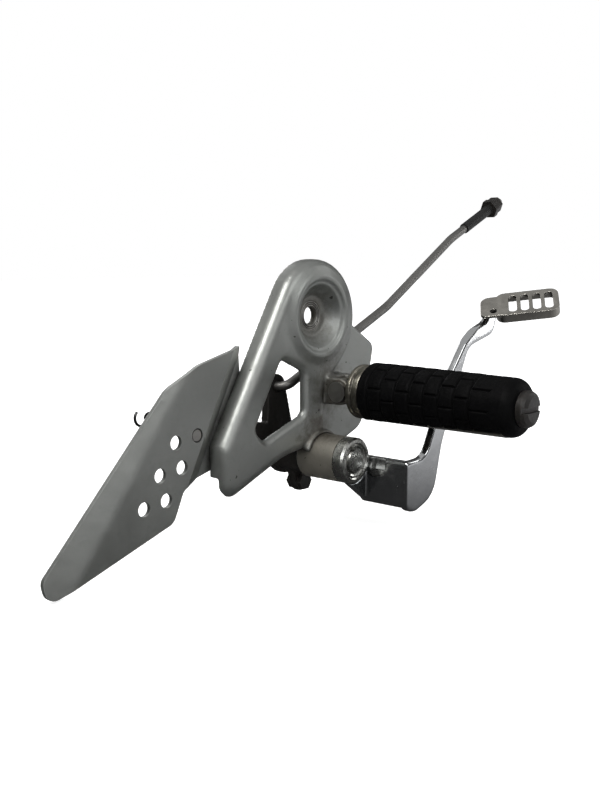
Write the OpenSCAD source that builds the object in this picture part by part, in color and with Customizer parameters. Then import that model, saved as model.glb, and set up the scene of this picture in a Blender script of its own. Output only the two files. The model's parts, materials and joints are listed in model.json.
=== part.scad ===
// Right-hand motorcycle footpeg hanger with folding peg, heel guard and brake pedal.
// X points forward, -Y outboard, Z up. The origin is the centre of the top bolt hole
// on the mounting face.

/* [Hanger casting] */
// Depth of the casting from the mounting face to the front face
cast_depth = 13; // [11.5:0.5:16]
// Thickness of the front skin
skin = 5; // [4:0.5:6.5]
// Thickness of the wall round the edge
rim_wall = 4.5; // [3:0.5:6]
// Rounding of the outer front edge
edge_round = 6; // [3:0.5:6.5]
// Radius of the round head
head_r = 36; // [34:0.5:42]
// Slope of the rear leg above the horizontal
leg_slope = 59; // [57:0.5:61]
// Forward edge of the upright leg, ahead of the top bolt
upright_x = 6.5; // [4:0.5:9]
// Depth of the dish round the top bolt
dish_depth = 10; // [8:0.5:11]
// Radius of the dish at its lip
dish_r = 21.5; // [18:0.5:24]
// Height of the lip of the dish over the front face
lip_h = 2; // [1:0.5:3]
// Bore for the M10 top bolt
bolt_d = 10.5; // [8.5:0.1:12]
// Thickness of the web ahead of the upright leg
web_t = 4; // [3:0.5:6]

/* [Pivot] */
// Pedal axis, ahead of the top bolt
pivot_x = 1; // [-1:0.5:3]
// Pedal axis, below the top bolt
pivot_drop = 88; // [86:0.5:91]
// Outer diameter of the pivot tube
tube_d = 28.8; // [26:0.2:32]
// Bore of the pivot tube
tube_bore = 21; // [20:0.5:23]
// Distance of the tube's outer end from the mounting face
tube_out = 33; // [28:0.5:38]
// Distance of the tube's inner end from the mounting face
tube_in = 5; // [2:0.5:8]
// Diameter of the pedal shaft
shaft_d = 17; // [15:0.5:18]

/* [Peg] */
// Peg axis, ahead of the top bolt
peg_x = 17; // [16:0.5:20]
// Peg axis, below the top bolt
peg_drop = 47; // [45.5:0.5:48.5]
// Distance of the hinge pin from the mounting face
pin_out = 23; // [21.5:0.5:25]
// Diameter of the hinge pin
pin_d = 8; // [6:0.5:9]
// Width of the tongue between the lugs
tongue_w = 13; // [11:0.5:15]
// Thickness of each lug
lug_t = 5; // [4:0.5:6]
// Diameter of the flange behind the rubber
flange_d = 34; // [30:0.5:38]
// Length of the rubber
rubber_l = 104; // [92:1:112]
// Diameter of the rubber at its inner end
rubber_d = 38; // [36:0.5:41]
// How much thinner the rubber is at its outer end
rubber_taper = 3.5; // [0:0.5:5]
// Width of the flat bar inside the rubber
bar_w = 20; // [17:0.5:23]
// Thickness of the flat bar inside the rubber
bar_t = 6; // [5:0.5:8]
// Thickness of the flange behind the rubber
flange_t = 9; // [5:0.5:10]

/* [Heel guard] */
// Thickness of the sheet
sheet_t = 2.5; // [2:0.1:3]
// Distance of the guard's outer face from the mounting face
guard_out = 5.5; // [5:0.5:8]
// Diameter of the six holes
guard_hole_d = 8.2; // [6:0.2:10]
// Pitch of the holes in a row
guard_hole_pitch = 20.3; // [18:0.1:22]
// Angle of the turned-back outer strip
strip_fold = 14; // [8:1:20]

/* [Brake pedal] */
// Thickness of the arm
arm_t = 5.5; // [5:0.5:7]
// Height of the arm beside the pivot
arm_h = 30; // [27:0.5:31]
// Distance of the arm's outer face from the mounting face
arm_out = 70; // [66:0.5:74]
// Length of the pad
pad_l = 41; // [39:1:48]
// Width of the pad, front to back
pad_w = 25; // [24:0.5:30]
// Thickness of the pad's sheet
pad_t = 2; // [1.5:0.1:2.5]
// Number of slots in the pad
pad_slots = 4; // [3:1:4]

/* [Linkage] */
// Distance of the rod's centre from the mounting face, inboard
rod_y = 8; // [6:0.5:8.5]
// Diameter of the rod
rod_d = 6; // [5:0.5:7]
// Length of the inner lever from the pedal axis to the rod
lever_l = 44; // [40:0.5:46]
// Thickness of the inner lever
lever_t = 6; // [5:0.5:7]

/* [Hidden] */
$fn = 64;

// Clearance of a running fit, on the radius
run_gap = 0.05;
// Clearance between pieces that move past each other
move_gap = 0.4;
pivot_z = -pivot_drop;
peg_z = -peg_drop;
pin_y = -pin_out;

// Rounded outlines in the X-Z plane
function unit(v) = v / norm(v);
function turn(a, b) = atan2(a.x * b.y - a.y * b.x, a * b);
// One rounded corner: c is [x, z, radius], grow moves the outline outwards
function corner(before, c, after, grow, steps) =
    let(
        p = [c.x, c.y],
        d1 = unit(p - [before.x, before.y]),
        d2 = unit([after.x, after.y] - p),
        bend = turn(d1, d2),
        side = bend >= 0 ? 1 : -1,
        left = [-d1.y, d1.x],
        centre = p - d1 * c.z * tan(abs(bend) / 2) + left * side * c.z,
        r = c.z + side * grow,
        start = atan2(d1.y, d1.x) - 90 * side
    )
    [for (i = [0:steps]) centre + r * [cos(start + bend * i / steps), sin(start + bend * i / steps)]];
function outline(pts, grow = 0, steps = 6) =
    let(n = len(pts))
    [for (i = [0:n - 1]) each corner(pts[(i + n - 1) % n], pts[i], pts[(i + 1) % n], grow, steps)];
// Triangles of a plane outline, one ear at a time; q holds the indices that are left
function area2(a, b, c) = (b.x - a.x) * (c.y - a.y) - (b.y - a.y) * (c.x - a.x);
function in_ear(p, a, b, c) = area2(a, b, p) >= 0 && area2(b, c, p) >= 0 && area2(c, a, p) >= 0;
function is_ear(pts, q, i) =
    let(n = len(q), a = q[(i + n - 1) % n], b = q[i], c = q[(i + 1) % n])
    area2(pts[a], pts[b], pts[c]) > 0
        && len([for (j = q) if (j != a && j != b && j != c && in_ear(pts[j], pts[a], pts[b], pts[c])) 1]) == 0;
function find_ear(pts, q, i = 0) = i >= len(q) - 1 || is_ear(pts, q, i) ? i : find_ear(pts, q, i + 1);
function ears(pts, q) =
    let(n = len(q))
    n == 3 ? [q] : let(e = find_ear(pts, q)) concat(
        [[q[(e + n - 1) % n], q[e], q[(e + 1) % n]]],
        ears(pts, [for (k = [0:n - 1]) if (k != e) q[k]]));
// Solid between rings; each layer is [y, grow]
module loft(pts, layers, steps = 6) {
    rings = [for (l = layers) [for (p = outline(pts, l[1], steps)) [p.x, l[0], p.y]]];
    n = len(rings[0]);
    m = len(rings);
    near = ears(outline(pts, layers[0][1], steps), [for (i = [0:n - 1]) i]);
    far = ears(outline(pts, layers[m - 1][1], steps), [for (i = [0:n - 1]) i]);
    polyhedron(
        points = [for (r = rings) each r],
        faces = concat(
            [for (t = near) [t[2], t[1], t[0]]],
            [for (t = far) [for (i = t) (m - 1) * n + i]],
            [for (k = [0:m - 2]) for (i = [0:n - 1])
                [k * n + i, k * n + (i + 1) % n, (k + 1) * n + (i + 1) % n, (k + 1) * n + i]]));
}
// Layers of a slab from y0 (outboard) to y1 with edges rounded by r0 and r1
function slab_layers(y0, y1, r0, r1 = 0, k = 4) = concat(
    [for (i = [0:k]) [y0 + r0 * (1 - cos(90 * i / k)), -r0 * (1 - sin(90 * i / k))]],
    r1 > 0
        ? [for (i = [k:-1:0]) [y1 - r1 * (1 - cos(90 * i / k)), -r1 * (1 - sin(90 * i / k))]]
        : [[y1, 0]]);
// Layers of a cutter whose mouth at y0 flares by r0
function mouth_layers(y0, y1, r0, k = 4) = concat(
    [[y0 - 1, r0]],
    [for (i = [0:k]) [y0 + r0 * (1 - cos(90 * i / k)), r0 * (1 - sin(90 * i / k))]],
    [[y1, 0]]);
// Straight extrusion of an X-Z outline from y0 to y1
module plate(y0, y1) {
    translate([0, y1, 0]) rotate([90, 0, 0]) linear_extrude(y1 - y0) children();
}
// Cylinder along Y from y0 to y1
module rod_along_y(x, z, y0, y1, d) {
    translate([x, y0, z]) rotate([-90, 0, 0]) cylinder(d = d, h = y1 - y0);
}
// Cylinder along X from x0 to x1
module rod_along_x(y, z, x0, x1, d) {
    translate([x0, y, z]) rotate([0, 90, 0]) cylinder(d = d, h = x1 - x0);
}

// Hanger casting
// The head is round about a point just below the bolt
head_z = -1;
head_n = 4;
upright_corner = [upright_x, -46];
head_from = -50;
head_to = leg_slope + 90;
head_step = (head_to - head_from) / head_n;
function head_corners() = [for (i = [0:head_n - 1])
    let(a = head_from + head_step * (i + 0.5), q = head_r / cos(head_step / 2))
    [q * cos(a), head_z + q * sin(a), head_r]];
// Foot of the rear leg
foot_z = -72;
foot_touch = [head_r * cos(head_to), head_z + head_r * sin(head_to)];
foot_x = foot_touch.x - (foot_touch.y - foot_z) / tan(leg_slope);
frame_outline = concat(
    [[upright_x, pivot_z + 8.5, 7], [upright_corner.x, upright_corner.y, 12]],
    head_corners(),
    [[foot_x, foot_z, 9], [foot_x, foot_z - 24, 7.5], [foot_x + 7, foot_z - 31, 7], [-32, -85, 60]]);
window_outline = [[-14.5, -60, 5], [-14.5, -33.5, 5], [-34.5, -24.5, 4], [-58, -65, 4], [-50, -72.5, 4.5]];
web_outline = [[12, -82, 5], [38, -82.5, 9], [55, -76, 13], [67.5, -22.5, 6], [36, -3, 12], [0, -20, 5]];
second_bolt = [47, -44];
second_bolt_d = 8.5;

front_y = -cast_depth;
lug_gap = tongue_w + 2 * move_gap;
lug_r = 8.5;
// Block that carries the two lugs and stops the peg when it is down
block_face = pin_y + lug_r + 0.3;
block_top = peg_z + 9;
block_bottom = peg_z - lug_r;

module dish_cut() {
    floor_y = front_y - lip_h + dish_depth;
    rotate([90, 0, 0]) rotate_extrude()
        polygon([
            [0, -floor_y],
            [12.5, -floor_y],
            [dish_r - 4.5, -floor_y + dish_depth * 0.45],
            [dish_r - 1.5, -floor_y + dish_depth * 0.8],
            [dish_r, -front_y + lip_h],
            [dish_r + 1, -front_y + lip_h + 1],
            [0, -front_y + lip_h + 1]]);
    // Shallow recess that the bolt's washer leaves in the floor
    rod_along_y(0, 0, floor_y - 1, floor_y + 1, 19);
}
module dish_lip() {
    lip_r = 3;
    rotate([90, 0, 0]) rotate_extrude() {
        translate([dish_r + lip_r, -front_y + lip_h - lip_r]) circle(r = lip_r);
        translate([dish_r, -front_y - 3]) square([2 * lip_r, 3 + lip_h - lip_r]);
    }
    rotate([90, 0, 0]) rotate_extrude()
        polygon([[dish_r + lip_r, 0], [dish_r + 10, 0], [dish_r + 10, -front_y - 0.5], [dish_r + lip_r, -front_y + lip_h]]);
}
module lug(x0) {
    rod_along_x(pin_y, peg_z, x0, x0 + lug_t, 2 * lug_r);
    translate([x0, pin_y, peg_z - lug_r]) cube([lug_t, block_face - pin_y + 1, 2 * lug_r]);
}
module lug_block() {
    wide = lug_gap + 2 * lug_t;
    translate([peg_x - wide / 2, block_face, block_bottom])
        cube([wide, -block_face - web_t / 2, block_top - block_bottom]);
}
// Bead of the weld between the casting and the pivot tube
module weld_bead() {
    translate([pivot_x, front_y - 0.5, pivot_z]) rotate([90, 0, 0]) rotate([0, 0, 35])
        rotate_extrude(angle = 125) translate([tube_d / 2 + 0.4, 0]) circle(r = 2.2, $fn = 24);
}
module hanger_body() {
    difference() {
        loft(frame_outline, slab_layers(front_y, 0, edge_round));
        // Hollow back, open to the window
        difference() {
            plate(front_y + skin, 1) polygon(outline(frame_outline, -rim_wall, 5));
            rod_along_y(0, 0, front_y, 2, 2 * dish_r + 6);
            rod_along_y(pivot_x, pivot_z, front_y, 2, tube_d + 6);
        }
        // Behind the tip of the foot only the front skin goes down
        plate(front_y + skin + 1, 2) polygon([[foot_x - 2, foot_z - 17], [foot_x + 16, foot_z - 22],
            [foot_x + 34, foot_z - 60], [foot_x - 2, foot_z - 60]]);
    }
    dish_lip();
}
module hanger() {
    color([0.55, 0.56, 0.56]) difference() {
        union() {
            hanger_body();
            loft(web_outline, slab_layers(-web_t, -0.5, 1.2, 0, 2), 4);
            lug(peg_x - lug_gap / 2 - lug_t);
            lug(peg_x + lug_gap / 2);
            lug_block();
            weld_bead();
            for (s = guard_screws_at) rod_along_y(s.x, s.y, front_y + skin - 1, 0, 10);
        }
        loft(window_outline, mouth_layers(front_y, 2, skin - 1), 5);
        dish_cut();
        rod_along_y(0, 0, front_y - lip_h, 2, bolt_d);
        rod_along_y(second_bolt.x, second_bolt.y, -web_t - 2, 2, second_bolt_d);
        rod_along_y(pivot_x, pivot_z, -tube_out, 2, tube_d);
        rod_along_x(pin_y, peg_z, peg_x - lug_gap, peg_x + lug_gap, pin_d + 2 * run_gap);
        for (s = guard_screws_at) rod_along_y(s.x, s.y, 1 - screw_l, 2, screw_d);
    }
}

// Heel guard
screw_d = 5;
screw_l = 7;
guard_inner = sheet_t - guard_out;
guard_outline = [[-60, -14.5, 2.5], [-97, -23.5, 30], [-119, -35, 20], [-200.5, -124, 6],
    [-199, -135.5, 5], [-117, -109.5, 8], [-109, -92, 6], [-56, -79, 4]];
bend_from = [-69.5, -18];
bend_slope = 63;
crease_from = [-103.4, -25.4];
crease_slope = 52.5;
margin_fold = 29;
guard_screws_at = [[-64, -57], [-68, -73]];
// Centre of hole r in row c
function guard_hole_at(c, r) =
    [-114.5 + 15.9 * c - 0.58 * guard_hole_pitch * r, -64.7 + 2 * c - 0.814 * guard_hole_pitch * r];
// Everything inboard of the plane through a fold line, turned by fold about it
module behind_fold(p, slope, fold, t) {
    translate([p.x, -guard_out, p.y]) rotate([0, -slope, 0]) rotate([fold, 0, 0])
        translate([-400, t, -300]) cube([800, 300, 600]);
}
// Inboard side of the folded surface at depth t in the sheet
module guard_side(t) {
    intersection() {
        translate([-400, t - guard_out, -300]) cube([600, 40, 400]);
        behind_fold(crease_from, crease_slope, -strip_fold, t);
        union() {
            behind_fold(bend_from, bend_slope, margin_fold, t);
            translate([-400, t, -300]) cube([600, 40, 400]);
        }
    }
}
module heel_guard() {
    color([0.60, 0.61, 0.61]) difference() {
        intersection() {
            plate(-guard_out - 1, 30) polygon(outline(guard_outline));
            guard_side(0);
        }
        guard_side(sheet_t);
        for (c = [0, 1])
            for (r = [0:2])
                let(h = guard_hole_at(c, r)) rod_along_y(h.x, h.y, -guard_out - 2, guard_inner + 2, guard_hole_d);
        for (s = guard_screws_at) rod_along_y(s.x, s.y, -1, sheet_t + 1, screw_d);
    }
}
module guard_screws() {
    color([0.35, 0.35, 0.36]) for (s = guard_screws_at) {
        rod_along_y(s.x, s.y, 1 - screw_l, sheet_t, screw_d);
        rod_along_y(s.x, s.y, sheet_t, sheet_t + 3, 9);
    }
}
// Bolt seated in the first hole of the front row
module guard_stud() {
    h = guard_hole_at(1, 0);
    color([0.4, 0.4, 0.4]) {
        rod_along_y(h.x, h.y, -guard_out + 0.4, guard_inner, guard_hole_d - 1.6);
        rod_along_y(h.x, h.y, guard_inner, guard_inner + 4, guard_hole_d + 1.6);
    }
}

// Pivot
module pivot_tube() {
    color([0.52, 0.50, 0.47]) difference() {
        rod_along_y(pivot_x, pivot_z, -tube_out, -tube_in, tube_d);
        rod_along_y(pivot_x, pivot_z, -tube_out - 1, 0, tube_bore);
    }
}
bush_l = 9;
module pedal_bushes() {
    color([0.65, 0.5, 0.3]) for (y0 = [-tube_out, -tube_in - bush_l])
        difference() {
            rod_along_y(pivot_x, pivot_z, y0, y0 + bush_l, tube_bore);
            rod_along_y(pivot_x, pivot_z, y0 - 1, y0 + bush_l + 1, shaft_d + 2 * run_gap);
        }
}

// Peg
flange_y = pin_y - 9;
rubber_y = flange_y - flange_t - 0.3;
bar_r = (rubber_d - rubber_taper) / 2;
bar_top = peg_z - bar_r + bar_t;
core_d = 14;
// Flat bar under the rubber, its lower edges rounded to the outline of the rubber
module peg_bar() {
    intersection() {
        translate([peg_x - bar_w / 2, rubber_y - rubber_l + 8, bar_top - 12])
            cube([bar_w, rubber_l - 6, 12]);
        rod_along_y(peg_x, peg_z, rubber_y - rubber_l, flange_y, 2 * bar_r);
    }
}
module peg_forging() {
    color([0.45, 0.44, 0.41]) difference() {
        union() {
            rod_along_x(pin_y, peg_z, peg_x - tongue_w / 2, peg_x + tongue_w / 2, 2 * lug_r);
            translate([peg_x - tongue_w / 2, flange_y - 1, peg_z - lug_r])
                cube([tongue_w, pin_y - flange_y + 1, 2 * lug_r]);
            // Heel that bears on the block
            translate([peg_x - tongue_w / 2, pin_y, peg_z - lug_r]) cube([tongue_w, lug_r, lug_r]);
            rod_along_y(peg_x, peg_z, flange_y - flange_t, flange_y, flange_d);
            peg_bar();
            rod_along_y(peg_x, peg_z, rubber_y - rubber_l + 14, flange_y, core_d);
        }
        rod_along_x(pin_y, peg_z, 0, 40, pin_d + 2 * run_gap);
        // Locating notch and waist of the flange
        translate([peg_x - 4, flange_y - flange_t - 1, peg_z + flange_d / 2 - 3]) cube([8, flange_t - 3, 5]);
        translate([peg_x, flange_y - 3, peg_z]) rotate([90, 0, 0]) rotate_extrude()
            translate([flange_d / 2 - 1.6, 0]) square([4, 1.6]);
    }
}
rubber_r = rubber_d / 2;
tread_rows = 8;
tread_first = 9;
tread_pitch = (rubber_l - 32) / tread_rows;
tread_depth = 1.5;
tread_w = 1.3;
// Radius of the rubber at distance s from its inner end
function rubber_at(s) = rubber_r - (rubber_r - bar_r) * s / (rubber_l - 7);
// Groove across the tread, from angle a over span w
module tread_groove(s, a, w) {
    r = rubber_at(s);
    translate([peg_x, rubber_y - s, peg_z]) rotate([90, 0, 0]) rotate([0, 0, a - w / 2])
        rotate_extrude(angle = w) translate([r - tread_depth, -tread_w / 2]) square([tread_depth + 3, tread_w]);
}
// Lengthwise slit of the tread at angle a
module tread_slit(s0, s1, a) {
    r = rubber_at(s1);
    translate([peg_x, rubber_y - s1, peg_z]) rotate([0, -a, 0])
        translate([r - tread_depth, 0, -tread_w / 2]) cube([tread_depth + 4, s1 - s0, tread_w]);
}
module peg_rubber() {
    color([0.06, 0.06, 0.065]) difference() {
        translate([peg_x, rubber_y, peg_z]) rotate([90, 0, 0]) rotate_extrude()
            polygon([[0, 0], [rubber_r - 1.5, 0], [rubber_r, 2], [bar_r, rubber_l - 7],
                [bar_r - 1, rubber_l - 3.2], [bar_r - 3, rubber_l - 1], [bar_r - 6, rubber_l], [0, rubber_l]]);
        translate([peg_x - bar_w / 2, rubber_y - rubber_l + 8, bar_top - 20])
            cube([bar_w, rubber_l, 20]);
        rod_along_y(peg_x, peg_z, rubber_y - rubber_l + 14, flange_y, core_d);
        for (i = [0:tread_rows - 1]) {
            s = tread_first + i * tread_pitch;
            shift = i % 2 == 0 ? 0 : 22;
            for (k = [0:3]) tread_groove(s, -30 + shift + 70 * k, 46);
            for (k = [0:3]) tread_slit(s + 1, s + tread_pitch * 0.72, -30 + shift + 22 + 70 * k);
        }
    }
}
// Plug in the outer end of the rubber, with a slot across it
plug_d = 21;
plug_h = 6;
module peg_end_plug() {
    y0 = rubber_y - rubber_l;
    color([0.1, 0.1, 0.1]) difference() {
        translate([peg_x, y0, peg_z]) rotate([90, 0, 0]) rotate_extrude()
            polygon([[0, 0], [plug_d / 2, 0], [plug_d / 2, plug_h - 3], [plug_d / 2 - 1, plug_h - 1.2],
                [plug_d / 2 - 3.5, plug_h], [0, plug_h]]);
        translate([peg_x - plug_d, y0 - plug_h - 1, peg_z - 1.6]) cube([2 * plug_d, 3.5, 3.2]);
    }
}
lugs_end = peg_x + lug_gap / 2 + lug_t;
split_at = lugs_end + 3.2;
split_d = 2;
module peg_pin() {
    color([0.4, 0.4, 0.38]) difference() {
        union() {
            x0 = peg_x - lug_gap / 2 - lug_t;
            rod_along_x(pin_y, peg_z, x0, lugs_end + 5, pin_d);
            rod_along_x(pin_y, peg_z, x0 - 2, x0, pin_d + 5);
        }
        translate([split_at, pin_y, peg_z - pin_d]) cylinder(d = split_d + 2 * run_gap, h = 2 * pin_d);
    }
}
module peg_pin_washer() {
    color([0.5, 0.5, 0.48]) difference() {
        rod_along_x(pin_y, peg_z, lugs_end, lugs_end + 1.5, 16);
        rod_along_x(pin_y, peg_z, lugs_end - 1, lugs_end + 2, pin_d);
    }
}
module peg_split_pin() {
    reach = pin_d / 2 + 3;
    color([0.4, 0.35, 0.3]) translate([split_at, pin_y, peg_z - reach]) cylinder(d = split_d, h = 2 * reach);
}
// Brake pedal
shaft_end = rod_y + 15;
collar_l = 7;
collar_y = -tube_out - move_gap;
arm_x = pivot_x + tube_d / 2 - 1.4;
arm_top = pivot_z + 1;
arm_low = arm_top - arm_h;
arm_edge = 1.6;
arm_outline = [[arm_x, arm_low, 4], [arm_x + 9, arm_low - 3, 12], [44, -113, 19], [52.5, -80, 50],
    [82, -21.5, 14], [112, -14.5, 9], [119, 4, 3], [106, 4, 2], [103.5, -5.5, 6], [82, -12, 18],
    [58, -40, 60], [34, -86.5, 13], [arm_x, arm_top, 2.4]];
// Cross-section of the arm beside the pivot, with a full round along its lower rear edge
root_outline = [[arm_x, arm_low, 4.4], [arm_x + arm_t + 1, arm_low, 2], [arm_x + arm_t + 1, arm_top, 2],
    [arm_x, arm_top, 2]];
module pedal_shaft() {
    color([0.6, 0.6, 0.58]) {
        rod_along_y(pivot_x, pivot_z, collar_y - 1, shaft_end, shaft_d);
        translate([pivot_x, collar_y, pivot_z]) rotate([90, 0, 0]) rotate_extrude()
            polygon([[0, 0], [tube_d / 2, 0], [tube_d / 2, collar_l - 1.2], [tube_d / 2 - 1.2, collar_l],
                [tube_d / 2 - 3, collar_l], [tube_d / 2 - 3.8, collar_l - 0.7], [tube_d / 2 - 5, collar_l - 0.1],
                [tube_d / 2 - 6.2, collar_l - 0.8], [7.6, collar_l - 0.9], [7, collar_l + 0.3], [0, collar_l + 0.3]]);
    }
}
module pedal_arm() {
    color([0.75, 0.76, 0.78]) difference() {
        union() {
            plate(-arm_out + arm_edge, collar_y - 0.5) polygon(outline(root_outline));
            // Neck that joins the arm to the collar
            plate(collar_y - collar_l + 1.5, collar_y - 1) hull() {
                translate([pivot_x, pivot_z]) circle(d = tube_d - 1, $fn = 32);
                translate([arm_x + 2, arm_low + 1]) square([3, arm_h - 4]);
            }
            loft(arm_outline, slab_layers(-arm_out, -arm_out + arm_t, arm_edge, arm_edge, 2), 4);
        }
        rod_along_y(pivot_x, pivot_z, collar_y - 20, collar_y + 1, tube_d);
        // The top of the arm is cut to the underside of the pad and to its skirt
        pad_place() translate([-30, -60, -pad_t]) cube([80, 120, 30]);
        pad_place() pad_block(run_gap, -pad_rim - run_gap, 0);
    }
}
// The pad is drawn flat: u runs outboard, v forward, and its top is at zero
pad_tilt = 33;
pad_rise = 7;
pad_yaw = 28;
pad_at = [102, -arm_out - 7, -2];
pad_rim = 6.5;
pad_tab = 10;
slot_w = 5.2;
slot_pitch = 7.8;
module pad_place() {
    translate(pad_at) rotate([0, 0, pad_yaw]) rotate([-pad_rise, 0, 0]) rotate([0, -pad_tilt, 0]) children();
}
module pad_block(grow, z0, z1) {
    translate([0, 0, z0]) linear_extrude(z1 - z0)
        polygon(outline([[pad_w, -pad_l, 6], [pad_w, 0, 6], [0, 0, 6], [0, -pad_l, 6]], grow, 6));
}
module pedal_pad() {
    color([0.75, 0.76, 0.78]) pad_place() difference() {
        union() {
            pad_block(0, -pad_rim, 0);
            translate([0, 0, -pad_t]) linear_extrude(pad_t)
                polygon(outline([[pad_w - 3, -10, 1], [pad_w - 3, pad_tab, 6], [0.5, pad_tab, 4], [0.5, -10, 1]]));
        }
        pad_block(-pad_t, -pad_rim - 1, -pad_t);
        translate([6, 1.5, -pad_t - 1]) cylinder(d = 4.5, h = pad_t + 2);
        for (i = [0:pad_slots - 1])
            translate([pad_w - 4 - slot_w / 2, -pad_l + 6.5 + slot_pitch * i, -pad_t - 1])
                linear_extrude(pad_t + 2) {
                    circle(d = slot_w);
                    translate([-pad_w + 12 + slot_w, -slot_w / 2]) square([pad_w - 12 - slot_w, slot_w]);
                    translate([-pad_w + 12 + slot_w, 0]) circle(d = slot_w);
                }
    }
}
module shaft_washer() {
    color([0.5, 0.5, 0.5]) difference() {
        rod_along_y(pivot_x, pivot_z, -tube_in + 0.3, -tube_in + 1.7, 26);
        rod_along_y(pivot_x, pivot_z, -tube_in, -tube_in + 2, shaft_d + 0.4);
    }
}
lever_y0 = rod_y + 7;
lever_y1 = lever_y0 + lever_t;
lever_lean = 14;
lever_top = [pivot_x - lever_l * sin(lever_lean), pivot_z + lever_l * cos(lever_lean)];
lever_rear = [pivot_x - 33, pivot_z + 17];
pinch_at = [pivot_x + 3, pivot_z - 19.5];
pinch_y0 = rod_y - 2;
pinch_y1 = pinch_y0 + 5;
pinch_d = 6;
pinch_flats = 11.5;
pinch_h = 3.5;
module inner_lever() {
    color([0.16, 0.12, 0.1]) difference() {
        union() {
            plate(lever_y0, lever_y1) hull() {
                translate([pivot_x, pivot_z]) circle(d = 30, $fn = 32);
                translate(lever_rear) circle(d = 12, $fn = 32);
            }
            plate(lever_y0, lever_y1) hull() {
                translate([pivot_x - 7, pivot_z + 8]) circle(d = 26, $fn = 32);
                translate(lever_top) circle(d = 16, $fn = 32);
            }
            rod_along_y(pivot_x, pivot_z, -tube_in + 1.7, shaft_end - 1, 26);
            plate(pinch_y0, pinch_y1) hull() {
                translate([pivot_x, pivot_z]) circle(d = 20, $fn = 32);
                translate(pinch_at) circle(d = 13, $fn = 32);
            }
        }
        rod_along_y(pivot_x, pivot_z, -tube_in, shaft_end, shaft_d);
        rod_along_y(lever_top.x, lever_top.y, 0, 30, rod_d + 2 * run_gap);
        rod_along_y(lever_rear.x, lever_rear.y, 0, 30, 5);
        rod_along_y(pinch_at.x, pinch_at.y, 0, 30, pinch_d);
    }
}
module pinch_bolt() {
    color([0.2, 0.18, 0.16]) {
        rod_along_y(pinch_at.x, pinch_at.y, pinch_y0 - 1, pinch_y1 + pinch_h + 1, pinch_d);
        translate([pinch_at.x, pinch_y0, pinch_at.y]) rotate([90, 0, 0]) cylinder(d = pinch_flats, h = pinch_h, $fn = 6);
    }
}
module pinch_nut() {
    color([0.2, 0.18, 0.16]) difference() {
        translate([pinch_at.x, pinch_y1 + pinch_h, pinch_at.y]) rotate([90, 0, 0])
            cylinder(d = pinch_flats, h = pinch_h, $fn = 6);
        rod_along_y(pinch_at.x, pinch_at.y, 0, 40, pinch_d);
    }
}
module rod_washer() {
    color([0.2, 0.2, 0.2]) difference() {
        rod_along_y(lever_top.x, lever_top.y, lever_y1 + 0.3, lever_y1 + 1.8, 14);
        rod_along_y(lever_top.x, lever_top.y, 0, 40, rod_d);
    }
}
module rod_split_pin() {
    color([0.3, 0.3, 0.3]) translate([lever_top.x, lever_y1 + 3.2, lever_top.y - 7]) cylinder(d = 1.8, h = 14);
}

// Brake rod: straight lengths in the plane of the rod, joined by bends
rod_corners = [[lever_top.x, lever_top.y], [97.5, 1.6], [179, 49.8], [249, 80.5]];
function heading(i) = atan2(rod_corners[i + 1].y - rod_corners[i].y, rod_corners[i + 1].x - rod_corners[i].x);
function dir_of(i) = [cos(heading(i)), sin(heading(i))];
hook_r = lever_y0 - rod_y - 0.5;
module in_rod_plane() {
    translate([0, rod_y, 0]) rotate([90, 0, 0]) children();
}
// How much thicker the bends are than the straights, and how far a straight runs into a bend
knuckle = 0.1;
lap = 0.5;
bend_r = 60;
function swing(i) = heading(i) - heading(i - 1);
function bend_t(i) = bend_r * tan(abs(swing(i)) / 2);
module rod_straight(i) {
    a = rod_corners[i] + dir_of(i) * ((i == 0 ? hook_r : bend_t(i)) - lap);
    b = rod_corners[i + 1] - dir_of(i) * (i < 2 ? bend_t(i + 1) - lap : 0);
    in_rod_plane() translate([a.x, a.y, 0]) rotate([0, 90, heading(i)]) cylinder(d = rod_d, h = norm(b - a));
}
module rod_bend(i) {
    from = heading(i - 1) - 90 * sign(swing(i));
    c = rod_corners[i] - dir_of(i - 1) * bend_t(i) - bend_r * [cos(from), sin(from)];
    in_rod_plane() translate([c.x, c.y, 0]) rotate([0, 0, min(from, from + swing(i))])
        rotate_extrude(angle = abs(swing(i))) translate([bend_r, 0]) circle(d = rod_d + knuckle);
}
// Bent end that turns inboard through the lever
module rod_hook() {
    start = rod_corners[0] + dir_of(0) * hook_r;
    translate([start.x, rod_y, start.y]) rotate([0, -heading(0), 0]) translate([0, hook_r, 0])
        rotate([0, 0, 180]) rotate_extrude(angle = 90) translate([hook_r, 0]) circle(d = rod_d + knuckle);
    rod_along_y(lever_top.x, lever_top.y, rod_y + hook_r - lap, lever_y1 + 6, rod_d);
}
module brake_rod() {
    color([0.4, 0.4, 0.4]) difference() {
        union() {
            rod_hook();
            for (i = [0:2]) rod_straight(i);
            for (i = [1:2]) rod_bend(i);
        }
        translate([lever_top.x, lever_y1 + 3.2, lever_top.y - 9]) cylinder(d = 1.9, h = 18);
    }
}
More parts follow.
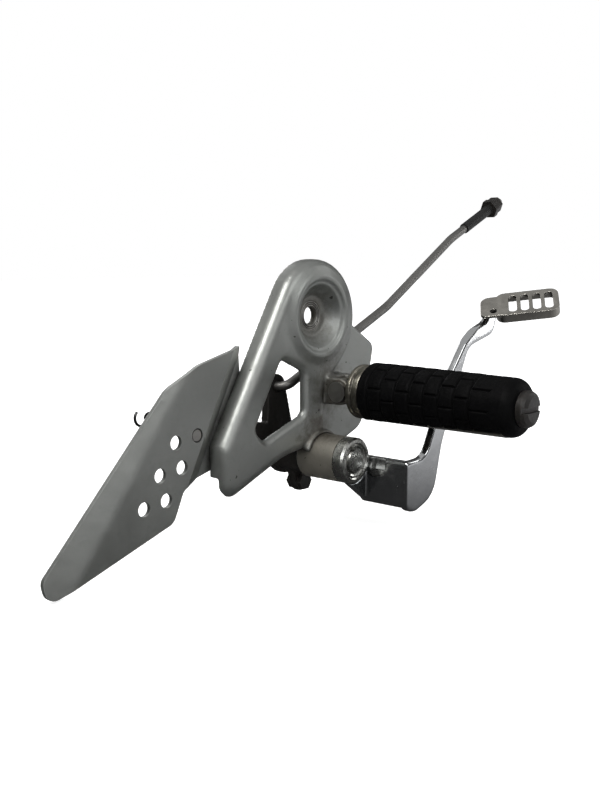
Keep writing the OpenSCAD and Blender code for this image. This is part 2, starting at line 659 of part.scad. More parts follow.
// Point on the last straight of the rod, measured back from its tip
function from_tip(s) = rod_corners[3] - dir_of(2) * s;
module on_rod(s0, s1, d, sides = 64) {
    a = from_tip(s0);
    in_rod_plane() translate([a.x, a.y, 0]) rotate([0, 90, heading(2)]) cylinder(d = d, h = s0 - s1, $fn = sides);
}
nut_s = 17;
module rod_sleeve() {
    color([0.08, 0.08, 0.08]) difference() {
        on_rod(nut_s + 39, nut_s, 7.8);
        on_rod(nut_s + 60, nut_s - 5, rod_d + 2 * run_gap);
    }
}
module rod_lock_nut() {
    color([0.15, 0.15, 0.15]) difference() {
        on_rod(nut_s, nut_s - 5, 15, 6);
        on_rod(nut_s + 5, nut_s - 10, rod_d + 2 * run_gap);
    }
}
module rod_end_nut() {
    color([0.12, 0.12, 0.12]) difference() {
        on_rod(nut_s - 5.5, nut_s - 12, 13, 6);
        on_rod(nut_s + 5, -10, rod_d + 2 * run_gap);
    }
}
// Return spring: close coils with a hook at each end
spring_y = (lever_y0 + lever_y1) / 2;
spring_free = [-124, -51.5];
wire_d = 1.6;
coil_r = 3.2;
eye_r = 4.8;
module spring_place() {
    v = spring_free - lever_rear;
    translate([lever_rear.x, spring_y, lever_rear.y]) rotate([0, -atan2(v.y, v.x), 0]) children();
}
module return_spring() {
    reach = norm(spring_free - lever_rear);
    first = 2 * eye_r - wire_d / 2;
    turns = floor((reach - first - 2 * eye_r) / (wire_d * 0.94));
    color([0.2, 0.2, 0.2]) spring_place() {
        // Eye through the lever
        translate([eye_r - wire_d * 0.3, 0, 0]) rotate([0, 0, 40]) rotate_extrude(angle = 320)
            translate([eye_r, 0]) circle(d = wire_d, $fn = 24);
        translate([first, 0, 0]) rotate([0, 90, 0]) {
            rotate_extrude() for (i = [0:turns])
                translate([coil_r, wire_d * (0.5 + 0.94 * i)]) circle(d = wire_d, $fn = 24);
            cylinder(r = coil_r, h = wire_d);
            translate([0, 0, wire_d * 0.94 * turns]) cylinder(r = coil_r, h = wire_d);
        }
        translate([first + wire_d * (0.94 * turns + 1) + eye_r - 0.4, 0, 0]) rotate([90, 0, 0])
            rotate([0, 0, 180]) rotate_extrude(angle = 290) translate([eye_r, 0]) circle(d = wire_d, $fn = 24);
    }
}

hanger();
pivot_tube();
pedal_bushes();
heel_guard();
guard_screws();
guard_stud();
peg_pin();
peg_pin_washer();
peg_split_pin();
peg_forging();
peg_rubber();
peg_end_plug();
pedal_shaft();
pedal_arm();
pedal_pad();
shaft_washer();
inner_lever();
pinch_bolt();
pinch_nut();
rod_washer();
rod_split_pin();
brake_rod();
rod_sleeve();
rod_lock_nut();
rod_end_nut();
return_spring();
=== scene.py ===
import json
import math

import bmesh
import bpy
from mathutils import Matrix, Vector, noise


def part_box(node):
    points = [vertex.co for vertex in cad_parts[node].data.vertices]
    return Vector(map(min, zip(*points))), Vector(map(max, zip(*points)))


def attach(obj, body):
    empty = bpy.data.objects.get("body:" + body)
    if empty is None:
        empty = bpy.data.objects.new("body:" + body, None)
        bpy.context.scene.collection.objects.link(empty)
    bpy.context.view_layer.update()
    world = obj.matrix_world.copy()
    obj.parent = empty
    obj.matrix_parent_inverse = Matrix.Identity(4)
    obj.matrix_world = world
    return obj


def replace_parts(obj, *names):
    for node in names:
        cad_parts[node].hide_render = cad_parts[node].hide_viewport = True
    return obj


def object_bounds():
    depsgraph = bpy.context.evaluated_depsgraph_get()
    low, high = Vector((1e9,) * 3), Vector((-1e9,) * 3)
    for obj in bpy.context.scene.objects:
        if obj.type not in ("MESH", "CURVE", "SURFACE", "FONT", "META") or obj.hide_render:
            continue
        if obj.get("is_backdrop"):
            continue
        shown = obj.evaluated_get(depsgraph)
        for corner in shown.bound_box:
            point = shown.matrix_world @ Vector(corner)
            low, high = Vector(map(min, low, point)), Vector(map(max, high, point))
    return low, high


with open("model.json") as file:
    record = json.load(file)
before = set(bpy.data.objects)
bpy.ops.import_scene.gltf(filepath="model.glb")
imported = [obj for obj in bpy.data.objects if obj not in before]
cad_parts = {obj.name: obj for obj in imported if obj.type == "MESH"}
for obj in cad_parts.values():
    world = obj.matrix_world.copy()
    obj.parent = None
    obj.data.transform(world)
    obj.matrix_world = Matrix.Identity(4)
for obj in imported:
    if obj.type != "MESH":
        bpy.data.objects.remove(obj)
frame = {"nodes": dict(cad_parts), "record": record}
low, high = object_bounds()

# All lengths are in metres, in the frame of the CAD: forward is +X, outboard -Y and up +Z.
# An edge is sharp where its faces turn by more than this
SHARP = math.radians(32.0)
# Colours on the metal: painted shade in its creases, grime with painted shade round its joints and in the
# dish, and chips
CREASE_SHADE = (0.03, 0.027, 0.024)
GRIME_AND_SHADE = (0.075, 0.062, 0.045)
CHIP = (0.02, 0.018, 0.015)
COAT_ROUGHNESS = 0.25
# How far wear reaches from a sharp edge
WORN_EDGE = 0.0008
# Noise scales, the larger the finer
RAGGED_SCALE = 140.0
SCRATCH_SCALE = 420.0
SCRATCH_STRETCH = (0.12, 1.0, 1.4)
CHIP_SCALE = 260.0
DENT_SCALE = 90.0

# Shader trees


class Net:
    """A shader tree that is written from left to right."""

    def __init__(self, owner):
        owner.use_nodes = True
        self.owner = owner
        self.tree = owner.node_tree
        self.tree.nodes.clear()
        self.place = self.add("ShaderNodeTexCoord")
        self.coord = self.place.outputs["Object"]

    def put(self, socket, value):
        """Links an output to the socket, or sets the socket's own value."""
        if hasattr(value, "is_output"):
            self.tree.links.new(value, socket)
        elif socket.type == "RGBA":
            socket.default_value = (*value, 1.0)
        else:
            socket.default_value = value

    def add(self, kind, inputs=None, **props):
        """A node with its properties, and its inputs linked or set."""
        node = self.tree.nodes.new(kind)
        for key, value in props.items():
            setattr(node, key, value)
        for key, value in (inputs or {}).items():
            self.put(node.inputs[key], value)
        return node

    def math(self, operation, first, second):
        """One step of arithmetic."""
        return self.add("ShaderNodeMath", {0: first, 1: second}, operation=operation).outputs[0]

    def plus(self, first, second):
        return self.math("ADD", first, second)

    def times(self, first, second):
        return self.math("MULTIPLY", first, second)

    def vector(self, operation, *inputs):
        """The outputs of one step of vector arithmetic."""
        return self.add("ShaderNodeVectorMath", dict(enumerate(inputs)), operation=operation).outputs

    def noise(self, scale, detail, rough=0.55, stretch=(1, 1, 1), distortion=0.0):
        """Noise in the object's own space."""
        mapping = self.add("ShaderNodeMapping", {"Vector": self.coord, "Scale": stretch})
        texture = self.add("ShaderNodeTexNoise", {
            "Vector": mapping.outputs["Vector"], "Scale": scale, "Detail": detail, "Roughness": rough,
            "Distortion": distortion})
        return texture.outputs["Fac"]

    def ramp(self, value, start, stop, first=0.0, last=1.0):
        """Maps start..stop to first..last and holds it outside."""
        inputs = {"Value": value, "From Min": start, "From Max": stop, "To Min": first, "To Max": last}
        return self.add("ShaderNodeMapRange", inputs, clamp=True).outputs["Result"]

    def mix(self, share, first, second):
        """The first colour with a share of the second."""
        return self.add("ShaderNodeMix", {0: share, 6: first, 7: second}, data_type="RGBA").outputs[2]

    def mix_vectors(self, share, first, second):
        """The first vector with a share of the second."""
        return self.add("ShaderNodeMix", {0: share, 4: first, 5: second}, data_type="VECTOR").outputs[1]

    def mix_shaders(self, share, first, second):
        """The first shader with a share of the second."""
        return self.add("ShaderNodeMixShader", {0: share, 1: first, 2: second}).outputs[0]

    def near(self, spots):
        """1 round each spot (x, y, z, radius), fading to 0 at its radius, with a ragged edge."""
        ragged = self.ramp(self.noise(RAGGED_SCALE, 6.0, 0.7), 0.3, 0.7, -0.35, 0.35)
        total = None
        for x, y, z, radius in spots:
            distance = self.vector("DISTANCE", self.coord, (x, y, z))["Value"]
            share = self.plus(self.math("DIVIDE", distance, radius), ragged)
            spot = self.ramp(share, 0.45, 1.05, 1.0, 0.0)
            total = spot if total is None else self.math("MAXIMUM", total, spot)
        return total

    def creases(self, reach=0.006, start=0.45, stop=0.95):
        """1 in creases and corners, 0 on open faces."""
        hidden = self.add("ShaderNodeAmbientOcclusion", {"Distance": reach}, samples=6)
        return self.ramp(hidden.outputs["AO"], start, stop, 1.0, 0.0)

    def edges(self):
        """1 along sharp edges, 0 on faces."""
        rounded = self.add("ShaderNodeBevel", {"Radius": WORN_EDGE}, samples=4)
        face = self.add("ShaderNodeNewGeometry")
        same = self.vector("DOT_PRODUCT", rounded.outputs["Normal"], face.outputs["Normal"])["Value"]
        return self.ramp(self.math("SUBTRACT", 1.0, same), 0.02, 0.18)

    def soft_fold(self, at, across, flat, folded, reach):
        """The normal of a sheet whose sharp fold at a line is spread over reach on both sides."""
        away = self.vector("SUBTRACT", self.coord, at)["Vector"]
        turn = self.add("ShaderNodeMapRange", {
            "Value": self.vector("DOT_PRODUCT", away, across)["Value"], "From Min": -reach,
            "From Max": reach}, interpolation_type="SMOOTHSTEP")
        face = self.add("ShaderNodeNewGeometry").outputs["Normal"]
        facing = self.vector("DOT_PRODUCT", face, flat)["Value"]
        bend = self.mix_vectors(turn.outputs["Result"], flat, folded)
        bent = self.mix_vectors(self.ramp(facing, 0.93, 0.96), face, bend)
        return self.vector("NORMALIZE", bent)["Vector"]

    def bump(self, height, strength, distance, normal=None):
        """The normal with a height pressed into it."""
        inputs = {"Height": height, "Strength": strength, "Distance": distance}
        if normal is not None:
            inputs["Normal"] = normal
        return self.add("ShaderNodeBump", inputs).outputs["Normal"]

    def surface(self, color, metallic, rough, normal, coat=0.0, specular=0.5):
        """Ends the tree with one principled surface, and gives the material."""
        shader = self.add("ShaderNodeBsdfPrincipled", {
            "Base Color": color, "Metallic": metallic, "Roughness": rough, "Normal": normal,
            "Coat Weight": coat, "Coat Roughness": COAT_ROUGHNESS, "Specular IOR Level": specular})
        self.add("ShaderNodeOutputMaterial", {"Surface": shader.outputs["BSDF"]})
        return self.owner


# Materials


def scaled(color, share):
    """The colour, darker or lighter by a share."""
    return tuple(c * share for c in color)


def metal(name, base, rough, metallic=1.0, shade=0.82, grain=1600.0, grain_bump=0.12, patch=40.0,
          rust=0.0, rust_color=(0.10, 0.045, 0.02), crease_shade=0.5, wear=0.5, wear_color=(0.62, 0.62, 0.60),
          scratch=0.1, coat=0.0, dents=0.1, grime_and_shade=(), grime_and_shade_amount=0.6, chips=0.0, fold=None):
    """Metal or metallic paint with patches, grain, scratches, painted shade in its creases and worn edges.
    """
    net = Net(bpy.data.materials.new(name))
    big = net.noise(patch, 5.0, 0.6, distortion=0.6)
    mid = net.noise(patch * 6.0, 6.0, 0.65)
    fine = net.noise(grain, 3.0, 0.6)
    lines = net.noise(SCRATCH_SCALE, 3.0, 0.7, stretch=SCRATCH_STRETCH)
    shaded = scaled(base, shade)
    color = net.mix(net.ramp(big, 0.35, 0.68), shaded, base)
    color = net.mix(net.times(net.ramp(mid, 0.55, 0.75), 0.35), color, scaled(shaded, 0.8))
    if rust > 0.0:
        spots = net.ramp(net.noise(patch * 9.0, 8.0, 0.7), 0.66 - 0.2 * rust, 0.74 - 0.12 * rust)
        color = net.mix(net.times(spots, min(1.0, rust * 1.2)), color, rust_color)
    if wear > 0.0:
        worn = net.times(net.edges(), net.times(net.ramp(mid, 0.4, 0.6), wear))
        color = net.mix(worn, color, wear_color)
    # Painted shade: creases and corners found by the occlusion mask are darkened towards a near-black tone
    crease_shade_share = net.times(net.creases(), net.ramp(mid, 0.3, 0.65, crease_shade * 0.5, crease_shade))
    color = net.mix(crease_shade_share, color, CREASE_SHADE)
    roughness = net.ramp(big, 0.3, 0.7, rough - 0.05, rough + 0.07)
    roughness = net.plus(roughness, net.ramp(mid, 0.4, 0.75, 0.0, 0.08))
    roughness = net.plus(roughness, net.ramp(lines, 0.58, 0.72, 0.0, scratch))
    if grime_and_shade:
        # Darker, rougher spots round given points: grime, and painted shade in the dish and at the joints
        grime_and_shade_share = net.times(net.near(grime_and_shade), net.ramp(mid, 0.25, 0.6, grime_and_shade_amount * 0.45, grime_and_shade_amount))
        color = net.mix(grime_and_shade_share, color, GRIME_AND_SHADE)
        roughness = net.plus(roughness, net.times(grime_and_shade_share, 0.15))
    if chips > 0.0:
        chipped = net.ramp(net.noise(CHIP_SCALE, 2.0, 0.4), 0.745 - 0.03 * chips, 0.76 - 0.03 * chips)
        color = net.mix(net.times(chipped, 0.8), color, CHIP)
    scratched = net.times(net.ramp(lines, 0.6, 0.75), -scratch * 0.5)
    height = net.plus(net.times(fine, grain_bump), scratched)
    normal = net.bump(height, 0.5, 0.0002, net.soft_fold(**fold) if fold else None)
    normal = net.bump(net.noise(DENT_SCALE, 3.0, 0.5), dents, 0.002, normal)
    return net.surface(color, metallic, roughness, normal, coat)


def rubber(name, base, rough, dust=(0.10, 0.10, 0.095), grain=2200.0, dusty=0.35, specular=0.3):
    """Black moulded rubber: fine grain, a polished crown here and there, dust in the grooves."""
    net = Net(bpy.data.materials.new(name))
    big = net.noise(55.0, 5.0, 0.6, distortion=0.4)
    mid = net.noise(420.0, 6.0, 0.7)
    fine = net.noise(grain, 3.0, 0.6)
    color = net.mix(net.ramp(big, 0.4, 0.7), base, scaled(base, 1.6))
    color = net.mix(net.times(net.ramp(mid, 0.62, 0.8), 0.3), color, dust)
    color = net.mix(net.times(net.creases(0.003, 0.4, 0.9), dusty), color, scaled(dust, 0.5))
    roughness = net.ramp(big, 0.3, 0.7, rough - 0.08, rough + 0.1)
    roughness = net.plus(roughness, net.ramp(mid, 0.4, 0.8, 0.0, 0.12))
    normal = net.bump(net.plus(fine, net.times(mid, 0.6)), 0.35, 0.0004)
    return net.surface(color, 0.0, roughness, normal, specular=specular)


# Darker spots of grime with painted shade at the peg's hinge, at the pivot tube's seat and in the dish: x,
# y, z and reach
HANGER_GRIME_AND_SHADE = ((0.017, -0.026, -0.048, 0.030), (0.001, -0.015, -0.074, 0.022), (0.0, -0.004, 0.0, 0.0185))
TUBE_GRIME_AND_SHADE = ((0.004, -0.016, -0.074, 0.016),)
# The guard's fold: a point on it, the way across it, both faces' normals and how far it is rounded
GUARD_FOLD = {"at": (-0.1034, 0.0, -0.0254), "across": (-0.7934, 0.0, 0.6088), "flat": (0.0, -1.0, 0.0),
              "folded": (-0.255, -0.947, 0.196), "reach": 0.0038}

METALS = {
    "silver_paint": dict(
        base=(0.275, 0.283, 0.270), rough=0.41, metallic=0.85, shade=0.86, grain=2200.0, grain_bump=0.22,
        patch=22.0, crease_shade=0.85, wear=0.15, wear_color=(0.5, 0.5, 0.49), scratch=0.05, coat=0.12, dents=0.12,
        chips=0.35, grime_and_shade=HANGER_GRIME_AND_SHADE, grime_and_shade_amount=0.75),
    "guard_paint": dict(
        base=(0.29, 0.297, 0.284), rough=0.42, metallic=0.85, shade=0.86, grain=2200.0, grain_bump=0.20,
        patch=16.0, crease_shade=0.85, wear=0.6, scratch=0.06, coat=0.1, dents=0.15, fold=GUARD_FOLD),
    "tube_steel": dict(
        base=(0.27, 0.255, 0.22), rough=0.42, metallic=0.8, patch=60.0, rust=0.25, crease_shade=0.8, wear=0.4,
        scratch=0.08, dents=0.2, chips=0.8, grime_and_shade=TUBE_GRIME_AND_SHADE, grime_and_shade_amount=0.8),
    "plated_steel": dict(
        base=(0.55, 0.56, 0.565), rough=0.14, patch=60.0, shade=0.9, grain_bump=0.02, rust=0.10, crease_shade=0.35,
        wear=0.0, scratch=0.06, dents=0.08),
    "pad_steel": dict(
        base=(0.40, 0.385, 0.35), rough=0.20, patch=110.0, shade=0.7, grain_bump=0.05, rust=0.34, crease_shade=1.0,
        wear=0.3, dents=0.12),
    "shaft_steel": dict(
        base=(0.62, 0.62, 0.58), rough=0.25, patch=120.0, shade=0.75, rust=0.15, crease_shade=0.7, scratch=0.05,
        dents=0.35),
    "peg_steel": dict(
        base=(0.27, 0.255, 0.215), rough=0.34, patch=110.0, shade=0.6, grain_bump=0.3, rust=0.50, crease_shade=1.0,
        dents=0.6),
    "bare_steel": dict(base=(0.36, 0.35, 0.33), rough=0.33, patch=120.0, rust=0.3, crease_shade=0.6, dents=0.2),
    "rod_steel": dict(
        base=(0.19, 0.186, 0.178), rough=0.40, patch=14.0, rust=0.05, crease_shade=0.3, grain_bump=0.02,
        scratch=0.0, dents=0.03),
    "spring_steel": dict(base=(0.10, 0.10, 0.10), rough=0.35, patch=80.0, rust=0.2, crease_shade=0.3, scratch=0.02),
    "dark_steel": dict(
        base=(0.016, 0.0145, 0.013), rough=0.40, metallic=0.4, patch=70.0, rust=0.45,
        rust_color=(0.030, 0.016, 0.010), wear_color=(0.11, 0.10, 0.09), dents=0.4),
    "bush_bronze": dict(base=(0.45, 0.30, 0.13), rough=0.35, patch=80.0),
}
RUBBERS = {
    "black_sleeve": dict(base=(0.006, 0.006, 0.006), rough=0.5, grain=900.0),
    "black_rubber": dict(
        base=(0.0014, 0.0014, 0.0015), rough=0.42, dust=(0.004, 0.004, 0.0038), specular=0.038),
}
MATERIALS = {slot: metal(slot + "_m", **look) for slot, look in METALS.items()}
MATERIALS |= {slot: rubber(slot + "_m", **look) for slot, look in RUBBERS.items()}

for subpart in frame["record"]["subparts"]:
    mesh = frame["nodes"][subpart["node"]].data
    mesh.materials.clear()
    mesh.materials.append(MATERIALS[subpart["material_slot"]])
    mesh.polygons.foreach_set("use_smooth", [True] * len(mesh.polygons))
    mesh.set_sharp_from_angle(angle=SHARP)
    mesh.update()

# Forms: castings and forgings get rounded, the other edges broken


def soften(ob, voxel, turns):
    """Rounds the edges and the inner corners of a casting or forging."""
    cast = ob.modifiers.new("cast", "REMESH")
    cast.mode = "VOXEL"
    cast.voxel_size = voxel
    cast.use_smooth_shade = True
    soft = ob.modifiers.new("soft", "SMOOTH")
    soft.factor = 0.5
    soft.iterations = turns


def break_edges(ob, width):
    """A small chamfer on every sharp edge."""
    edge = ob.modifiers.new("edge", "BEVEL")
    edge.width = width
    edge.segments = 2
    edge.limit_method = "ANGLE"
    edge.angle_limit = SHARP
    edge.harden_normals = True


# The voxel's size, and the turns of smoothing
CAST = {
    "hanger": (0.0008, 5),
    "pedal_arm": (0.0006, 6),
    "peg_forging": (0.0006, 4),
    "inner_lever": (0.0008, 3),
}
# The chamfer's width
CHAMFERED = {
    "heel_guard": 0.0004,
    "pivot_tube": 0.0004,
    "pinch_bolt": 0.0005,
    "pinch_nut": 0.0005,
    "rod_lock_nut": 0.0005,
    "rod_end_nut": 0.0005,
    "peg_end_plug": 0.0003,
}
for node, (voxel, turns) in CAST.items():
    soften(frame["nodes"][node], voxel, turns)
for node, width in CHAMFERED.items():
    break_edges(frame["nodes"][node], width)

# Pieces that Blender adds


def mesh_of(name, verts, faces):
    """A smooth mesh from points and faces."""
    mesh = bpy.data.meshes.new(name)
    mesh.from_pydata(verts, [], faces)
    mesh.update()
    mesh.polygons.foreach_set("use_smooth", [True] * len(mesh.polygons))
    return mesh


def piece(name, mesh, slot, body):
    """An object of this mesh, with a slot's material, that moves with a body."""
    mesh.materials.clear()
    mesh.materials.append(MATERIALS[slot])
    ob = bpy.data.objects.new(name, mesh)
    bpy.context.collection.objects.link(ob)
    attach(ob, body)
    return ob


def skin(rings, sides):
    """The faces between rings of points that follow each other, and a cap on both ends."""
    faces = []
    for i in range(rings - 1):
        for j in range(sides):
            k = (j + 1) % sides
            faces.append((i * sides + j, i * sides + k, (i + 1) * sides + k, (i + 1) * sides + j))
    faces.append(tuple(range(sides - 1, -1, -1)))
    faces.append(tuple((rings - 1) * sides + j for j in range(sides)))
    return faces


def groove(distance, width):
    """1 in the middle of a groove, falling smoothly to 0 at its width to either side."""
    share = max(0.0, 1.0 - (distance / width) ** 2)
    return share * share * (3 - 2 * share)


def peg_tread():
    """The rubber with rings of blocks, its outer end smooth with short slits."""
    (x0, y0, _), (x1, y1, z1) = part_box("peg_rubber")
    length = y1 - y0
    inner_r = (x1 - x0) / 2
    outer_r = inner_r - 0.00175
    center_x = (x0 + x1) / 2
    center_z = z1 - inner_r
    inner_round, inner_drop = 0.002, 0.0015
    outer_round, outer_drop = 0.007, 0.006
    pitch, block_angle = 0.010, math.radians(42)
    cuts = [0.008 + pitch * k for k in range(8)]
    cut_half, slit_half, slit_from = 0.0009, 0.0008, 0.3
    slit_end, slit_fade = 0.011, 0.002
    depth, slit_share, dome_height = 0.0014, 0.8, 0.00022
    sunk, wander, ripple = 0.0003, 0.0005, 0.00012
    flat_half, flat_z, flat_stop = 0.0101, -(outer_r - outer_drop), 0.008
    rings, sides = 251, 288

    def radius_at(s):
        """The rubber's radius at a distance from its inner end."""
        if s < inner_round:
            return inner_r - inner_drop * (1 - math.sin(math.pi / 2 * s / inner_round))
        if s < length - outer_round:
            return inner_r + (outer_r - inner_r) * (s - inner_round) / (length - inner_round - outer_round)
        share = (s - (length - outer_round)) / outer_round
        return outer_r - outer_drop * (1 - math.sqrt(max(0.0, 1 - share * share)))

    def relief_at(s, angle, radius):
        """How far the blocks stand out, less how far the grooves cut in."""
        aside = wander * noise.noise(Vector((angle * 1.3, s * 90, 3.1)))
        cut = max(groove(abs(s - at - aside), cut_half) for at in cuts)
        row = sum(1 for at in cuts if s > at)
        shift = slit_from + (block_angle / 2 if row % 2 else 0.0)
        across = abs((angle - shift + block_angle / 2) % block_angle - block_angle / 2) * radius
        slit = slit_share * groove(across, slit_half)
        if 0 < row < len(cuts):
            swell = (s - cuts[row - 1]) / pitch
            return dome_height * (1 - (2 * swell - 1) ** 2) - depth * max(cut, slit)
        if row == len(cuts) and s < cuts[-1] + slit_end + slit_fade:
            cut = max(cut, slit * groove(max(0.0, s - cuts[-1] - slit_end), slit_fade))
        return -depth * cut

    verts = []
    for i in range(rings):
        s = length * i / (rings - 1)
        radius = radius_at(s)
        for j in range(sides):
            angle = 2 * math.pi * j / sides
            skin_r = radius + relief_at(s, angle, radius) - sunk
            skin_r += ripple * noise.noise(Vector((angle * 4, s * 400, 0)))
            x, z = skin_r * math.cos(angle), skin_r * math.sin(angle)
            if z < flat_z and abs(x) < flat_half and s < length - flat_stop:
                z = flat_z
            verts.append((center_x + x, y1 - s, center_z + z))
    ob = piece("peg_tread", mesh_of("peg_tread", verts, skin(rings, sides)), "black_rubber", "peg")
    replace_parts(ob, "peg_rubber")
    ob.data.set_sharp_from_angle(angle=math.radians(70))


def slot_cutters(place):
    """Closed prisms that take the pad's slots on towards its rear edge."""
    first, pitch, count = -0.0345, 0.0078, 4
    below, above = -0.004, 0.002
    outline = [(0.0125, -0.0026), (0.0125, 0.0026), (0.0054, 0.0026), (0.0040, 0.0018), (0.0034, 0.0),
               (0.0040, -0.0018), (0.0054, -0.0026)]
    corners = len(outline)
    verts, faces = [], []
    for i in range(count):
        base = len(verts)
        for z in (below, above):
            verts += [tuple(place @ Vector((x, first + pitch * i + y, z))) for x, y in outline]
        faces += [tuple(base + k for k in face) for face in skin(2, corners)]
    mesh = mesh_of("pad_cutter", verts, faces)
    work = bmesh.new()
    work.from_mesh(mesh)
    bmesh.ops.recalc_face_normals(work, faces=work.faces)
    work.to_mesh(mesh)
    work.free()
    return mesh


def pad_slots():
    """The pad with its slots cut on towards the rear edge, and its edges rounded."""
    at, yaw, rise, tilt = (0.102, -0.077, -0.002), 28, -7, -33
    place = (Matrix.Translation(at) @ Matrix.Rotation(math.radians(yaw), 4, "Z")
             @ Matrix.Rotation(math.radians(rise), 4, "X") @ Matrix.Rotation(math.radians(tilt), 4, "Y"))
    cutter = bpy.data.objects.new("pad_cutter", slot_cutters(place))
    work = bpy.data.objects.new("pad_work", frame["nodes"]["pedal_pad"].data.copy())
    for ob in (cutter, work):
        bpy.context.collection.objects.link(ob)
    slots = work.modifiers.new("slots", "BOOLEAN")
    slots.operation = "DIFFERENCE"
    slots.solver = "EXACT"
    slots.object = cutter
    soften(work, 0.00036, 3)
    shown = work.evaluated_get(bpy.context.evaluated_depsgraph_get())
    mesh = bpy.data.meshes.new_from_object(shown)
    for ob in (work, cutter):
        bpy.data.objects.remove(ob)
    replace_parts(piece("pad_slotted", mesh, "pad_steel", "pedal"), "pedal_pad")


def seat_rings():
    """Rings that the bolt's washer has left in the floor of the dish."""
    seat_y, sides, ring_sides = -0.0042, 72, 8
    verts, faces = [], []
    for ring_r, wire_r in ((0.0064, 0.00042), (0.0076, 0.00036), (0.0088, 0.00042)):
        base = len(verts)
        for i in range(sides):
            turn = 2 * math.pi * i / sides
            j = base + i * ring_sides
            j_next = base + (i + 1) % sides * ring_sides
            for k in range(ring_sides):
                around = 2 * math.pi * k / ring_sides
                r = ring_r + wire_r * math.cos(around)
                verts.append((r * math.cos(turn), seat_y + wire_r * math.sin(around), r * math.sin(turn)))
                k_next = (k + 1) % ring_sides
                faces.append((j + k, j_next + k, j_next + k_next, j + k_next))
    piece("seat_rings", mesh_of("seat_rings", verts, faces), "bare_steel", "hanger")


def wire_points(points, radius, sides, start):
    """Rings of points round a wire, carried along it without a twist."""
    verts = []
    normal = start
    for i, point in enumerate(points):
        along = (points[min(i + 1, len(points) - 1)] - points[max(i - 1, 0)]).normalized()
        normal = (normal - along * normal.dot(along)).normalized()
        other = along.cross(normal)
        for k in range(sides):
            a = 2 * math.pi * k / sides
            verts.append(tuple(point + (normal * math.cos(a) + other * math.sin(a)) * radius))
    return verts


def spring_coils():
    """Wire wound close, with a closed eye on the lever and an open hook at the free end."""
    (_, y0, _), (_, y1, _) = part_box("return_spring")
    y = (y0 + y1) / 2
    lever_rear = Vector((-0.032, y, -0.071))
    spring_free = Vector((-0.124, y, -0.0515))
    along = (spring_free - lever_rear).normalized()
    side = Vector((0, 1, 0))
    up = along.cross(side).normalized()
    reach = (spring_free - lever_rear).length
    wire_r, coil_r, eye_r = 0.0008, 0.0032, 0.0047
    wire_sides, turn_points, eye_points, hook_points = 8, 14, 22, 20
    eye_from, eye_sweep, hook_from, hook_sweep = 150, -300, -100, 225
    eye_at, hook_at = eye_r * 0.8, reach - eye_r * 1.1
    start, end = eye_r * 2 + 0.001, reach - eye_r * 2.2
    turns = int((end - start) / (2.05 * wire_r))
    points = []
    for i in range(eye_points):
        a = math.radians(eye_from + eye_sweep * i / (eye_points - 1))
        points.append(lever_rear + along * (eye_at - eye_r * math.cos(a)) + side * eye_r * math.sin(a))
    for i in range(turns * turn_points + 1):
        a = 2 * math.pi * i / turn_points
        out = (side * math.cos(a) + up * math.sin(a)) * coil_r
        points.append(lever_rear + along * (start + (end - start) * i / (turns * turn_points)) + out)
    for i in range(hook_points):
        a = math.radians(hook_from + hook_sweep * i / (hook_points - 1))
        points.append(lever_rear + along * (hook_at + eye_r * math.sin(a)) + up * (eye_r * math.cos(a)))
    verts = wire_points(points, wire_r, wire_sides, side)
    mesh = mesh_of("spring_coils", verts, skin(len(points), wire_sides))
    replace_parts(piece("spring_coils", mesh, "spring_steel", "spring"), "return_spring")


peg_tread()
pad_slots()
seat_rings()
spring_coils()

# Stage: a pale floor that looks white, but is dim where polished steel mirrors it

# Polished steel mirrors a light room this way, and a dark one elsewhere
AHEAD = (0.66, -0.75, 0.0)
FLOOR_SIZE = 12.0
# The floor lies this far below the part's lowest point
FLOOR_GAP = 0.0015


def paint_floor(floor):
    """Diffuse with a glow for the camera, and a dim floor that brightens ahead for mirrors."""
    net = Net(bpy.data.materials.new("floor_m"))
    tint = net.mix(net.ramp(net.noise(3.0, 3.0), 0.3, 0.7), (0.93, 0.93, 0.925), (0.95, 0.95, 0.95))
    matt = net.add("ShaderNodeBsdfDiffuse", {"Color": tint}).outputs[0]
    far = net.vector("LENGTH", net.coord)["Value"]
    glow = net.add("ShaderNodeEmission", {
        "Color": (1.0, 1.0, 0.995), "Strength": net.ramp(far, 0.25, 1.1, 0.52, 1.0)}).outputs[0]
    shown = net.add("ShaderNodeAddShader", {0: matt, 1: glow}).outputs[0]
    ahead = net.vector("DOT_PRODUCT", net.coord, AHEAD)["Value"]
    mirrored = net.add("ShaderNodeEmission", {
        "Color": (1.0, 1.0, 1.02), "Strength": net.ramp(ahead, 0.06, 0.45, 0.035, 0.75)}).outputs[0]
    ray = net.add("ShaderNodeLightPath").outputs
    seen = net.mix_shaders(ray["Is Camera Ray"], matt, shown)
    net.add("ShaderNodeOutputMaterial", {"Surface": net.mix_shaders(ray["Is Glossy Ray"], seen, mirrored)})
    floor.data.materials.append(net.owner)


bpy.ops.mesh.primitive_plane_add(size=FLOOR_SIZE, location=(0.0, 0.0, low[2] - FLOOR_GAP))
floor = bpy.context.object
floor.name = "floor"
paint_floor(floor)
floor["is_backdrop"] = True


def sky(net, height, stops, strength):
    """A room that brightens with height."""
    tones = net.add("ShaderNodeValToRGB", {0: height})
    while len(tones.color_ramp.elements) < len(stops):
        tones.color_ramp.elements.new(0.5)
    for element, (at, tone) in zip(tones.color_ramp.elements, stops):
        element.position = at
        element.color = (tone, tone, tone * 1.01, 1)
    return net.add("ShaderNodeBackground", {"Color": tones.outputs[0], "Strength": strength}).outputs[0]


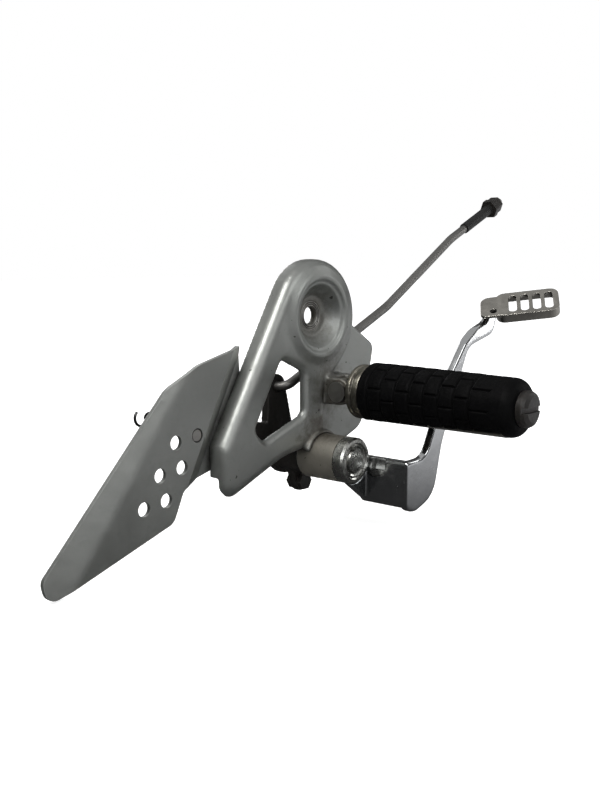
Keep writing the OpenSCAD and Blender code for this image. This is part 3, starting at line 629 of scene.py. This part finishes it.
def paint_world(world):
    """White for the camera, a soft fill for the light, and a darker room for mirrors."""
    net = Net(world)
    direction = net.place.outputs["Generated"]
    level = net.add("ShaderNodeSeparateXYZ", {0: direction}).outputs["Z"]
    height = net.add("ShaderNodeMath", {0: level, 1: 0.5, 2: 0.5}, operation="MULTIPLY_ADD").outputs[0]
    fill = sky(net, height, ((0.0, 0.10), (0.5, 0.20), (1.0, 0.45)), 0.7)
    lean = net.ramp(net.vector("DOT_PRODUCT", direction, AHEAD)["Value"], 0.25, 1.0, 0.35, 0.95)
    room = sky(net, height, ((0.0, 0.06), (0.50, 0.085), (0.62, 0.13), (0.80, 0.24), (1.0, 0.40)), lean)
    white = net.add("ShaderNodeBackground", {"Color": (1, 1, 1)}).outputs[0]
    ray = net.add("ShaderNodeLightPath").outputs
    lit = net.mix_shaders(ray["Is Glossy Ray"], fill, room)
    net.add("ShaderNodeOutputWorld", {"Surface": net.mix_shaders(ray["Is Camera Ray"], lit, white)})


bpy.context.scene.world = bpy.data.worlds.new("studio")
paint_world(bpy.context.scene.world)

# The point that all lamps aim at
MIDDLE = Vector((0.02, -0.03, -0.03))
# Each lamp's place, width, height, power and colour
LAMPS = {
    "key": ((-0.62, -0.10, 0.70), 0.46, 0.34, 8.0, (1.0, 0.995, 0.98)),
    "front": ((0.15, -1.10, 0.60), 0.6, 0.5, 3.4, (0.985, 0.995, 0.99)),
    "left": ((-0.75, -1.0, 0.45), 0.5, 0.6, 3.8, (0.97, 0.985, 1.0)),
    "top": ((0.1, 0.0, 1.5), 2.6, 2.6, 9.0, (1, 1, 1)),
    "right": ((0.9, -0.55, 0.25), 0.12, 0.7, 1.2, (1, 1, 1)),
    "back": ((0.25, 1.2, 0.55), 1.0, 0.7, 5.0, (1, 1, 1)),
}


def aimed(name, data, at, gaze):
    """A lamp or camera at a place, looking along a direction."""
    ob = bpy.data.objects.new(name, data)
    bpy.context.collection.objects.link(ob)
    ob.location = at
    ob.rotation_euler = gaze.to_track_quat("-Z", "Y").to_euler()
    return ob


for name, (at, width, height, power, color) in LAMPS.items():
    lamp = bpy.data.lights.new(name, "AREA")
    lamp.shape = "RECTANGLE"
    lamp.size = width
    lamp.size_y = height
    lamp.energy = power
    lamp.color = color
    aimed(name, lamp, at, MIDDLE - Vector(at))

# The camera's place and gaze are the ones fitted to the photograph
lens = bpy.data.cameras.new("camera")
lens.lens = 45.0
lens.sensor_width = 36.0
lens.clip_start = 0.01
lens.clip_end = 50.0
camera = aimed("camera", lens, (-0.4768, -0.4103, 0.0358), Vector((0.7472, 0.6495, -0.1409)))
bpy.context.scene.camera = camera
bpy.context.scene.view_settings.view_transform = "Standard"

low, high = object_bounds()
